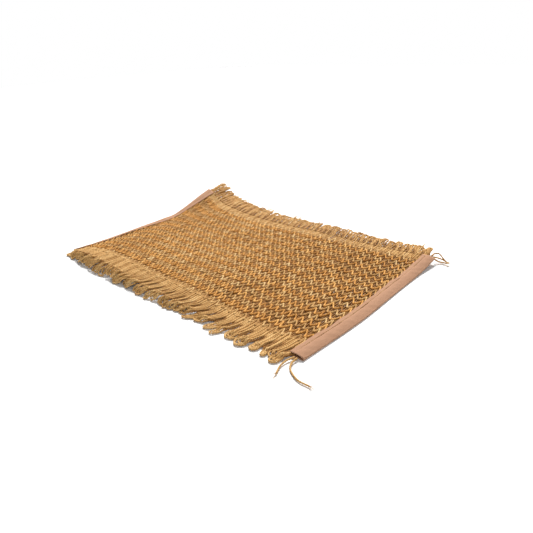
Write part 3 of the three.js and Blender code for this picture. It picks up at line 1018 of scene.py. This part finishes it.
@dataclass
class Fringe:
    """Nested loops of the short-way yarns past one long edge, in leaning locks."""

    weave: Weave
    locks: Locks
    reach_places: tuple[float, ...]
    reaches: tuple[float, ...]
    droop: float
    reach_spread: float
    curl_spread: float
    layer_spread: float
    tip_drop: float
    # Width of a lock at its tip and thickness of its yarn, as shares of those at the root
    width: float
    thickness: float
    # Painted shade: how much darker every loop of the fringe is made, as it lies in shade
    painted_depth_shade: float
    threads: tuple
    stray_loops: tuple[float, ...] = ()
    # Unevenness of a loop, slow and fine: size and wavelength
    wobble: tuple[float, float] = (0.0004, 0.014)
    crimp: tuple[float, float] = (0.00028, 0.005)
    thread_radius: float = 0.0011
    thread_steps: int = 40
    hairs: int = 9
    hair_radius: float = 0.00022
    # How much shorter and higher each inner loop of a lock is
    nest_short: float = 0.0022
    nest_high: float = 0.0003
    # Over what lengths the fringe settles on the floor, takes its slope from the mat, and joins the yarns
    settle: float = 0.014
    slope_base: float = 0.012
    join: float = 0.005
    level_height: float = 0.0013
    lowest: float = 0.0014
    leg_steps: int = 26
    turn_steps: int = 9

    def rest_height(self, x: Array, d: Array) -> Array:
        """Height of the fringe's middle: it sinks to the floor and lies level there.

        Args:
            x: places along the mat.
            d: distances past the edge, one row for each place, or one row for all.

        Returns:
            The heights, as places by distances.
        """
        lay, side = self.weave.lay, self.locks.edge.value
        edge = lay.height(x, np.full_like(x, side * lay.width / 2))
        inside = lay.height(x, np.full_like(x, side * (lay.width / 2 - self.slope_base)))
        slope = 0.5 * (edge - inside) / self.slope_base
        eased = np.clip(d / self.settle, 0.0, 1.0)
        free = edge[:, None] + slope[:, None] * d - self.droop * d * d
        return free + self.weave.yarn_height * (1 - eased) + self.level_height * eased

    def loops(self) -> bpy.types.Object:
        """Makes the loops.

        Returns:
            The mesh object of all the loops.
        """
        name = f"fringe_loops_{self.locks.edge.name.lower()}"
        loops = YarnSet(sides=6, seed=self.locks.seed)
        draw = np.random.default_rng(self.locks.seed + 1)
        count = len(self.locks.spans)
        order = np.arange(count)
        bends = self.curl_spread * (0.8 * np.sin(0.47 * order + 2.0) + 0.35 * draw.normal(0, 1, count))
        lines, thick, tones = [], [], []
        yarn_tones = self.weave.yarn_tones()
        blend = np.linspace(0.0, 1.0, 2 * self.leg_steps + self.turn_steps)
        radii = self.weave.loose_radii()[:, 0]
        for k, (start, end) in enumerate(self.locks.spans):
            reach = self.reach_at(self.locks.centre[start]) + self.reach_spread * draw.normal()
            bend = bends[k]
            tilt = draw.normal(0, 0.18)
            layer = self.layer_spread * ((0.5 if k % 2 else 0.0) + draw.uniform(-0.15, 0.5))
            spread = draw.uniform(0.97, 1.12)
            for inner in range((end - start) // 2):
                pair = (start + inner, end - 1 - inner)
                half = (self.locks.roots[pair[1]] - self.locks.roots[pair[0]]) * 0.5 * self.width * spread
                line = self._loop(pair, reach - inner * self.nest_short + draw.normal(0, 0.0006), bend, tilt,
                                  layer + inner * self.nest_high, half, draw)
                lines.append(line)
                thick.append(radii[pair[0]] * self.thickness * draw.uniform(0.9, 1.06))
                shade = yarn_tones[pair[0]] * (1 - blend) + yarn_tones[pair[1]] * blend
                reached = np.interp(np.minimum(blend, 1 - blend), (0.0, 0.45), (0.0, reach))
                parting = self.locks.parting(reached[None])[pair[0]]
                # Painted shade over the whole fringe, and painted shadow where two locks part
                tones.append(shade - self.painted_depth_shade - self.weave.parting_painted_shadow * parting)
        shape = np.array(lines)
        loops.add(shape, np.array(thick)[:, None], turn=0.0055, lobe=0.12, tone=np.array(tones))
        self._stray_loops(loops, draw)
        self._loose_threads(loops, draw)
        return loops.build(name)

    def reach_at(self, x: float) -> float:
        """Usual reach of the loops past the edge at a place along the mat."""
        return float(np.interp(x, self.reach_places, self.reaches))

    def _loop(self, pair: tuple[int, int], reach: float, bend: float, tilt: float,
              layer: float, half: float, draw: np.random.Generator) -> Array:
        """Line of one loop, from one yarn's root round the tip to the other's root.

        Args:
            pair: which two yarns the loop joins.
            reach: how far past the edge its tip lies.
            bend: how far its tip is bent along the mat.
            tilt: how far its plane is turned out of the mat's.
            layer: how high it lies in its lock.
            half: half of its width at the tip.
            draw: the random draws.

        Returns:
            The points of the line.
        """
        lay, side = self.weave.lay, self.locks.edge.value
        centre = self.locks.centre[pair[0]]
        round_end = half * 1.1
        straight = np.linspace(-0.0006, reach - round_end, self.leg_steps)
        angle = np.linspace(0.0, math.pi, self.turn_steps + 2)[1:-1]
        d = np.concatenate([straight, reach - round_end + round_end * np.sin(angle), straight[::-1]])
        wide = ease((d - 0.3 * reach) / (0.55 * reach))
        offsets = [(self.locks.roots[index] - centre) * self.locks.narrow for index in pair]
        swell = draw.normal(0, 0.0004)
        left = offsets[0] * (1 - wide) - (half + swell) * wide
        right = offsets[1] * (1 - wide) + (half + swell) * wide
        ahead = np.concatenate([np.zeros(self.leg_steps), (1 - np.cos(angle)) / 2, np.ones(self.leg_steps)])
        u = left * (1 - ahead) + right * ahead
        share = d / reach
        wobble = Wander(int(draw.integers(1, 9999)), *self.wobble).at(d, ahead * 0.01) * ease(share / 0.3)
        crimp = Wander(int(draw.integers(1, 9999)), *self.crimp).at(d, ahead * 0.01) * ease(share / 0.15)
        slant = self.locks.slanted(d[None])[pair[0]]
        x = centre + slant + bend * share**2 + u * (1 - 0.25 * abs(tilt) * wide) + wobble + crimp
        x = np.clip(x, -lay.length / 2 - 0.003, lay.length / 2 + 0.003)
        roots = self.locks.roots[pair[0]] * (1 - ahead) + self.locks.roots[pair[1]] * ahead
        height = self.rest_height(roots, d[:, None])[:, 0]
        height = height + layer * ease(share / 0.4) + u * math.sin(tilt) * wide + crimp[::-1]
        height = height - self.weave.parting_depth * self.locks.parting(d[None])[pair[0]]
        lifts = self.weave.layered(self.locks.roots[:, None])[list(pair), 0]
        height = height + (lifts[0] * (1 - ahead) + lifts[1] * ahead) * (1 - 0.4 * share)
        height = height - self.tip_drop * draw.uniform(0.2, 1.0) * ease((share - 0.7) / 0.3)
        gx, gy = self.weave.drifted(x, side * (lay.width / 2 + d), centre + slant[0] + u,
                                    np.full_like(d, side * lay.width / 2))
        line = lay.point(gx, gy, 0.0)
        line[:, 2] = height
        join = ease(d / self.join)[:, None]
        root = lay.point(gx, gy, self.weave.yarn_height + lifts[0] * (1 - ahead) + lifts[1] * ahead)
        line = root * (1 - join) + line * join
        line[:, 2] = np.maximum(line[:, 2], self.lowest)
        return line

    def _stray_loops(self, loops: YarnSet, draw: np.random.Generator) -> None:
        """Adds the few fine pale loops that stick out past the tips.

        Args:
            loops: the yarn set that they join.
            draw: the random draws.
        """
        for place_along in self.stray_loops:
            pair = int(np.argmin(np.abs(self.locks.roots - place_along)))
            pair = min(pair, len(self.locks.roots) - 2)
            line = self._loop((pair, pair + 1), self.reach_at(place_along) + draw.uniform(0.004, 0.008),
                              draw.normal(0, 0.002), draw.uniform(0.5, 1.0), 0.002, 0.003, draw)
            loops.add(line[None], 0.0006, turn=0.004, lobe=0.1, tone=1.0)

    def _knot(self, loops: YarnSet, middle: Array) -> None:
        """Adds the small knot in which the far threads meet.

        Args:
            loops: the yarn set that it joins.
            middle: its middle.
        """
        angle = np.linspace(0.0, 2.6 * math.tau, 60)
        wind = 0.0011 * np.stack([np.cos(angle), np.sin(angle), 0.5 * np.sin(1.7 * angle)], axis=-1)
        drift = np.linspace(-0.001, 0.001, 60)[:, None] * np.array([0.8, -0.5, 0.1])
        loops.add((middle + wind + drift)[None], 0.0008, turn=0.004, lobe=0.1)

    def _loose_threads(self, loops: YarnSet, draw: np.random.Generator) -> None:
        """Adds the loose threads at the right corner, with their frayed ends.

        Args:
            loops: the yarn set that they join.
            draw: the random draws.
        """
        lay, side = self.weave.lay, self.locks.edge.value
        corner = lay.point(np.array([lay.length / 2]), np.array([side * (lay.width / 2 + 0.0003)]), 0.0)[0]
        if self.locks.edge is Edge.FAR:
            self._knot(loops, corner + (0.0148, 0.0047, -0.0027))
        for route in self.threads:
            points = np.array(route) + corner
            steps = np.arange(len(points), dtype=float)
            at = np.linspace(0.0, len(points) - 1.0, self.thread_steps)
            line = np.stack([smooth_through(steps, points[:, [axis]], at) for axis in range(3)], axis=-1)
            radius = self.thread_radius * (1 - 0.25 * np.linspace(0, 1, self.thread_steps))
            loops.add(line[None], radius[None], turn=0.005, lobe=0.12)
            ahead = unit(line[-1] - line[-3])
            t = np.linspace(0.0, 1.0, 7)[:, None]
            for _ in range(self.hairs):
                spread = draw.normal(0, 0.45, 3) * (1, 1, 0.5)
                hair = line[-1] - ahead * 0.002 + (ahead + spread * t) * t * draw.uniform(0.004, 0.009)
                hair[:, 2] = np.maximum(hair[:, 2], 0.0003)
                loops.add(hair[None], self.hair_radius * (1 - 0.6 * t[:, 0])[None], turn=0.004, lobe=0.0)


@dataclass
class EndBinding:
    """Strip of cotton folded over one short end: flat over the weave, then sloping to its outer fold."""

    lay: MatLay
    end: End
    reach: float = 0.019
    flat: float = 0.0095
    top: float = 0.005
    fold_height: float = 0.0024
    fold: float = 0.0012
    thickness: float = 0.0006
    stitch_at: float = 0.0068
    stitch_pitch: float = 0.0036
    stitch_radius: float = 0.00024
    # How many points of the section lie on the upper side, and how many sections the strip has
    upper_points: int = 22
    sections: int = 170

    def profile(self) -> Array:
        """Section of the strip's outer face.

        Returns:
            Points of reach from the inner edge and height, from the upper flap's edge round the outer fold to
            the lower flap's edge.
        """
        bend_at, half = self.reach - self.fold, self.fold_height / 2
        drop = self.top - self.fold_height
        ahead = [(s * self.flat, self.top) for s in np.linspace(0.0, 1.0, 10)]
        slope = [(self.flat + s * (bend_at - self.flat), self.top - drop * (0.25 * s + 0.75 * s * s))
                 for s in np.linspace(0.0, 1.0, 12)[1:]]
        turn = [(bend_at + self.fold * math.sin(a), half + half * math.cos(a))
                for a in np.linspace(0.0, math.pi, 8)[1:]]
        back = [(s, 0.0) for s in np.linspace(bend_at, 0.0, 14)[1:]]
        return np.array(ahead + slope + turn + back)

    def strip(self) -> bpy.types.Object:
        """Makes the folded strip.

        Returns:
            The mesh object, with its thickness.
        """
        profile = self.profile()
        y = np.linspace(-self.lay.width / 2, self.lay.width / 2, self.sections)
        seed = 300 + self.end.value
        pucker = Wander(seed, 0.00007, 0.012)
        crease = Wander(seed + 10, 0.00016, 0.035)
        reach, n = np.meshgrid(profile[:, 0], y)[0], np.meshgrid(profile[:, 1], y)[0]
        yy = np.broadcast_to(y[:, None], reach.shape)
        upper = np.arange(len(profile))[None] < self.upper_points
        edge_wave = Wander(seed + 20, 0.00045, 0.03).at(yy, yy * 0)
        lift = np.where(upper, pucker.at(yy, reach) + crease.at(yy, reach * 0.5), 0.0)
        groove = np.exp(-((reach - self.stitch_at) / 0.0009) ** 2) * np.where(upper, 1.0, 0.0)
        n = n + lift - 0.0005 * groove * (0.7 + 0.3 * np.cos(math.tau * yy / self.stitch_pitch))
        inner = self.lay.flap(self.end.value, yy)
        reach = reach + np.where(upper, inner - edge_wave, 0.0) * np.clip(1 - reach / self.flat, 0, 1)
        x = self.end.value * (self.lay.held_from + reach)
        points = self.lay.point(x, yy, np.maximum(n, 0.0))
        rows, columns = reach.shape
        index = np.arange(rows * columns).reshape(rows, columns)
        quads = np.stack([index[:-1, :-1], index[1:, :-1], index[1:, 1:], index[:-1, 1:]], axis=-1)
        quads = quads.reshape(-1, 4)
        if self.end is End.RIGHT:
            quads = quads[:, ::-1]
        mesh = bpy.data.meshes.new(f"binding_strip_{self.end.name.lower()}")
        mesh.from_pydata(points.reshape(-1, 3), [], quads.tolist())
        lengths = np.concatenate([[0.0], np.cumsum(np.linalg.norm(np.diff(profile, axis=0), axis=1))])
        uv = np.stack([np.broadcast_to(lengths, reach.shape), yy], axis=-1).reshape(-1, 2)
        layer = mesh.uv_layers.new(name="cloth")
        layer.uv.foreach_set("vector", uv[quads.ravel()].ravel())
        mesh.shade_smooth()
        piece = place(mesh.name, mesh)
        wall = piece.modifiers.new("cloth thickness", "SOLIDIFY")
        wall.thickness, wall.offset = self.thickness, -1.0
        apply_modifiers(piece)
        return piece

    def stitches(self) -> bpy.types.Object:
        """Makes the line of stitches through the upper flap.

        Returns:
            The mesh object of the stitches.
        """
        count = int((self.lay.width - 0.006) / self.stitch_pitch)
        centre = (np.arange(count) - (count - 1) / 2) * self.stitch_pitch
        t = np.linspace(-1.0, 1.0, 7)[None]
        y = centre[:, None] + t * self.stitch_pitch * 0.42
        n = self.top - 0.00025 + 0.00028 * (1 - t**4) + 0 * y
        x = self.end.value * (self.lay.held_from + self.stitch_at + 0 * y)
        thread = YarnSet(sides=5, seed=400)
        thread.add(self.lay.point(x, y, n), self.stitch_radius, turn=0.0012, lobe=0.1)
        return thread.build(f"binding_stitches_{self.end.name.lower()}")


def apply_modifiers(piece: bpy.types.Object) -> None:
    """Applies all modifiers of a piece.

    Args:
        piece: the piece, which is left deselected.
    """
    bpy.ops.object.select_all(action="DESELECT")
    piece.select_set(True)
    bpy.context.view_layer.objects.active = piece
    for modifier in list(piece.modifiers):
        bpy.ops.object.modifier_apply(modifier=modifier.name)
    piece.select_set(False)


@dataclass(frozen=True)
class Studio:
    """Pale floor, soft lights and the camera."""

    azimuth: float = 41.65
    elevation: float = 24.47
    roll: float = -2.61
    target: tuple[float, float, float] = (0.0469, -0.0205, 0.0044)
    distance: float = 0.6645
    focal_share: float = 500.0 / 533.0
    sensor: float = 36.0
    floor_size: float = 8.0
    floor_height: float = -0.0002
    key_place: tuple[float, float, float] = (-2.2, 2.95, 3.65)
    key_size: float = 2.1
    key_power: float = 532.0
    fill_place: tuple[float, float, float] = (1.5, -0.9, 1.2)
    fill_size: float = 1.8
    fill_power: float = 17.0
    sky_light: float = 0.15

    def camera(self) -> None:
        """Makes the camera at the photograph's viewing angle."""
        data = bpy.data.cameras.new("camera")
        data.sensor_width = self.sensor
        data.lens = self.focal_share * self.sensor
        data.clip_start, data.clip_end = 0.01, 20.0
        camera = place("camera", data)
        a, e, r = (math.radians(v) for v in (self.azimuth, self.elevation, self.roll))
        ahead = Vector((-math.sin(a) * math.cos(e), math.cos(a) * math.cos(e), -math.sin(e)))
        level = Vector((math.cos(a), math.sin(a), 0.0))
        above = level.cross(ahead)
        right = math.cos(r) * level + math.sin(r) * above
        up = math.cos(r) * above - math.sin(r) * level
        turn = Matrix((right, up, -ahead)).transposed().to_4x4()
        camera.matrix_world = Matrix.Translation(Vector(self.target) - ahead * self.distance) @ turn
        bpy.context.scene.camera = camera

    def floor(self) -> None:
        """Makes the plain pale floor."""
        bpy.ops.object.select_all(action="DESELECT")
        bpy.ops.mesh.primitive_plane_add(size=self.floor_size, location=(0.0, 0.0, self.floor_height))
        floor = bpy.context.active_object
        floor.name = "floor"
        floor.data.transform(floor.matrix_world)
        floor.matrix_world = Matrix.Identity(4)
        made, recipe, sockets = new_material("floor", 0.9, 0.5)
        cloud = recipe.noise(recipe.node("ShaderNodeTexCoord").outputs["Object"], 1.5)
        recipe.feed(sockets["Base Color"], recipe.mix(cloud, (0.9, 0.9, 0.9, 1.0), (0.93, 0.93, 0.93, 1.0)))
        floor.data.materials.append(made)

    def lights(self) -> None:
        """Makes the soft lights and the pale surroundings, which the camera sees as white."""
        self._area("key_light", self.key_place, self.key_size, self.key_power)
        self._area("fill_light", self.fill_place, self.fill_size, self.fill_power)
        world = bpy.data.worlds.new("surroundings")
        world.use_nodes = True
        recipe = Recipe(world.node_tree)
        sky = world.node_tree.nodes["Background"]
        seen = recipe.node("ShaderNodeLightPath").outputs["Is Camera Ray"]
        sky.inputs["Color"].default_value = (1.0, 1.0, 1.0, 1.0)
        strength = recipe.math("MULTIPLY_ADD", seen, 1 - self.sky_light, self.sky_light)
        recipe.feed(sky.inputs["Strength"], strength)
        bpy.context.scene.world = world
        bpy.context.scene.view_settings.view_transform = "Standard"

    @staticmethod
    def _area(name: str, where: tuple[float, float, float], size: float, power: float) -> None:
        """Adds one area light that faces the mat.

        Args:
            name: name of the light.
            where: its place.
            size: its width and height.
            power: its power in watts.
        """
        data = bpy.data.lights.new(name, "AREA")
        data.size, data.energy = size, power
        light = place(name, data)
        light.location = where
        light.rotation_mode = "QUATERNION"
        light.rotation_quaternion = Vector(where).to_track_quat("Z", "Y")


class Placemat:
    """The whole placemat: its weave, fringes and bindings, dressed and tied to the frame."""

    NEAR_THREADS = (
        ((-0.006, -0.002, 0.0024), (-0.006, -0.010, 0.0018), (-0.001, -0.019, 0.0013),
         (0.013, -0.027, 0.0013), (0.027, -0.028, 0.0013)),
        ((-0.009, -0.002, 0.0024), (-0.012, -0.010, 0.002), (-0.012, -0.020, 0.0015),
         (-0.008, -0.031, 0.0013)),
    )
    FAR_THREADS = (
        ((-0.006, 0.003, 0.0026), (-0.006, 0.012, 0.003), (-0.001, 0.015, 0.0025),
         (0.006, 0.0105, 0.0), (0.013, 0.0055, -0.002)),
        ((-0.003, 0.002, 0.0022), (0.001, 0.007, 0.0), (0.007, 0.009, -0.0018), (0.013, 0.0055, -0.0022)),
        ((-0.002, 0.001, 0.0), (0.004, 0.003, -0.003), (0.009, 0.0045, -0.0035), (0.0145, 0.004, -0.0035)),
    )

    def __init__(self) -> None:
        """Sets out the sub-assemblies and their finishes."""
        self.lay = MatLay()
        self.weave = Weave(self.lay)
        near = Locks(
            self.weave, Edge.NEAR, seed=41, sizes=((1, 2, 2, 3), (2, 3, 3, 4)), starts=(-0.003, 0.0105),
            change=-0.045, both_sides=True, lean_places=(-0.227, -0.15, 0.0, 0.08, 0.14, 0.227),
            leans=(-0.4, -0.8, -0.75, -0.8, -0.4, -0.3), lean_spread=0.13, narrow=0.84, shade_from=0.004)
        far = Locks(
            self.weave, Edge.FAR, seed=73, sizes=((2, 2, 3), (2, 2, 2, 3)), starts=(0.002, 0.002),
            change=0.0, both_sides=False, lean_places=(-0.227, 0.0, 0.1, 0.227),
            leans=(-0.28, -0.3, -0.28, -0.22), lean_spread=0.032, narrow=0.95, shade_from=0.009)
        self.fringes = (
            Fringe(
                self.weave, near, reach_places=(-0.227, -0.12, -0.06, 0.06, 0.14, 0.227),
                reaches=(0.019, 0.0185, 0.0165, 0.0155, 0.0155, 0.0165), droop=20.0, reach_spread=0.0016,
                curl_spread=0.004, layer_spread=0.003, tip_drop=0.003, width=0.94, thickness=0.95,
                painted_depth_shade=0.0, threads=self.NEAR_THREADS),
            Fringe(
                self.weave, far, reach_places=(-0.227, -0.1, -0.05, 0.0, 0.04, 0.075, 0.11, 0.14, 0.227),
                reaches=(0.034, 0.042, 0.046, 0.046, 0.041, 0.044, 0.039, 0.034, 0.030), droop=2.0,
                reach_spread=0.0016, curl_spread=0.0018, layer_spread=0.0016, tip_drop=0.001, width=1.22,
                thickness=1.04, painted_depth_shade=0.28, threads=self.FAR_THREADS,
                stray_loops=(-0.13, -0.12, -0.06, -0.045, 0.01, 0.018, 0.05, 0.2)),
        )
        self.bindings = (
            EndBinding(self.lay, End.LEFT, reach=0.0175, flat=0.0085, top=0.0046),
            EndBinding(self.lay, End.RIGHT),
        )
        twist = yarn_twist_group()
        brown = YarnFinish("brown_jute", (0.34, 0.14, 0.026), (0.69, 0.33, 0.078), (0.90, 0.53, 0.175))
        beige = YarnFinish("beige_jute", (0.35, 0.165, 0.045), (0.61, 0.35, 0.12), (0.84, 0.59, 0.28))
        self.brown_jute = brown.material(twist)
        self.beige_jute = beige.material(twist)
        self.cotton = CottonFinish().material()

    def dress(self, piece: bpy.types.Object, material: bpy.types.Material) -> bpy.types.Object:
        """Gives a piece its material, and ties it to the body.

        Args:
            piece: the finished piece.
            material: its material.

        Returns:
            The same piece.
        """
        piece.data.materials.append(material)
        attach(piece, "root")
        LOG.info("%s: %d faces", piece.name, len(piece.data.polygons))
        return piece

    def make_body(self) -> None:
        """Makes the woven body."""
        weave, slot = self.weave, "jute_weave"
        rows = np.arange(weave.rows)
        beige, brown = rows[::2].astype(float), rows[1::2].astype(float)
        locks = {fringe.locks.edge: fringe.locks for fringe in self.fringes}
        ground = self.dress(weave.short_way_yarns(locks), self.beige_jute)
        cords = [
            self.dress(weave.top_cords("brown_rows", brown, 501, darker_left=0.1), self.brown_jute),
            self.dress(weave.top_cords("beige_rows", beige, 502, darker_left=0.35), self.beige_jute),
            self.dress(weave.back_cords("brown_rows_beneath", brown, 503), self.brown_jute),
            self.dress(weave.back_cords("beige_rows_beneath", beige, 504), self.beige_jute),
        ]
        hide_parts("woven_body")

    def make_fringes(self) -> None:
        """Makes both fringes."""
        for fringe in self.fringes:
            piece = self.dress(fringe.loops(), self.beige_jute)
            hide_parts(f"fringe_{fringe.locks.edge.name.lower()}")

    def make_bindings(self) -> None:
        """Makes both bindings and their stitches."""
        for binding in self.bindings:
            strip = self.dress(binding.strip(), self.cotton)
            stitches = self.dress(binding.stitches(), self.beige_jute)
            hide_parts(f"binding_{binding.end.name.lower()}")


def main() -> None:
    logging.basicConfig(level=logging.INFO, format="%(message)s")
    studio = Studio()
    studio.camera()
    studio.lights()
    studio.floor()
    placemat = Placemat()
    placemat.make_body()
    placemat.make_fringes()
    placemat.make_bindings()


if __name__ == "__main__":
    main()
